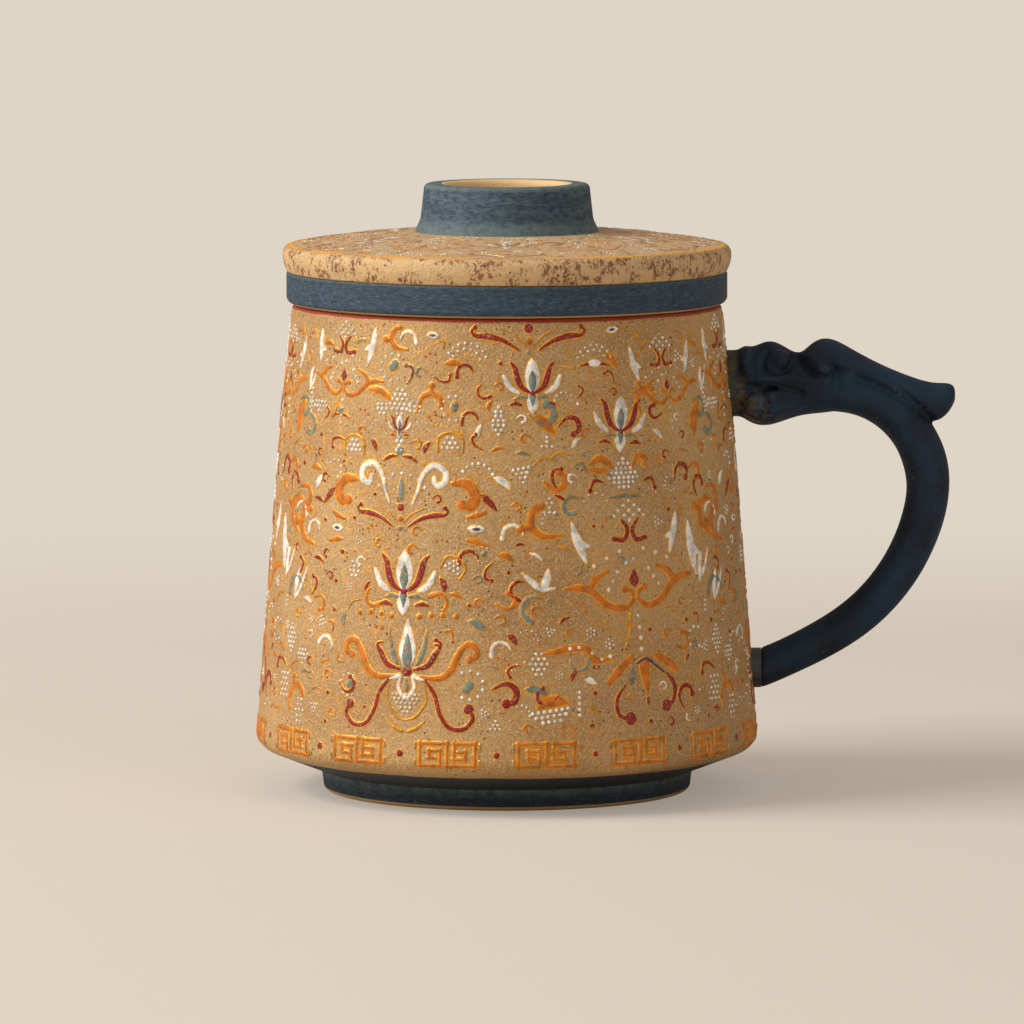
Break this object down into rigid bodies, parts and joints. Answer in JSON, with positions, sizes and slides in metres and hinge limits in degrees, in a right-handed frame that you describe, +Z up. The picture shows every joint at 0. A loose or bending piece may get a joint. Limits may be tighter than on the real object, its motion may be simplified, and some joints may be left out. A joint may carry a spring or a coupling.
{
  "type": "lidded tea mug with infuser",
  "caption": "Tapered stoneware tea mug with a dragon-shaped handle, a pierced infuser cup that hangs on its rim, and a domed lid with a hollow ring knob.",
  "frame": {"origin": "centre of the foot ring's underside, on the surface that the mug stands on", "axes": "+Z up along the mug's axis, +X from the axis towards the handle"},
  "size_m": [0.1232, 0.0884, 0.107],
  "materials": {
    "ochre_glaze": "speckled ochre glaze with raised enamel ornament",
    "navy_glaze": "satin dark navy glaze",
    "slate_glaze": "mottled slate-blue glaze",
    "liner_glaze": "plain speckled ochre glaze"
  },
  "bodies": {
    "mug": {"mug_body": "ochre_glaze", "foot_ring": "navy_glaze", "handle_lower_pad": "ochre_glaze", "handle_upper_pad": "ochre_glaze", "handle_bow": "navy_glaze", "dragon_head": "navy_glaze", "handle_crest": "navy_glaze"},
    "infuser": {"infuser_rim": "slate_glaze", "infuser_cup": "liner_glaze", "infuser_strainer": "liner_glaze"},
    "lid": {"lid_plate": "ochre_glaze", "lid_skirt": "liner_glaze", "lid_knob": "slate_glaze"}
  },
  "joints": [
    {"name": "infuser_lift", "type": "slide", "parent": "mug", "child": "infuser", "axis": [0, 0, 1], "range_m": [0, 0.06]},
    {"name": "lid_lift", "type": "slide", "parent": "infuser", "child": "lid", "axis": [0, 0, 1], "range_m": [0, 0.04]}
  ]
}
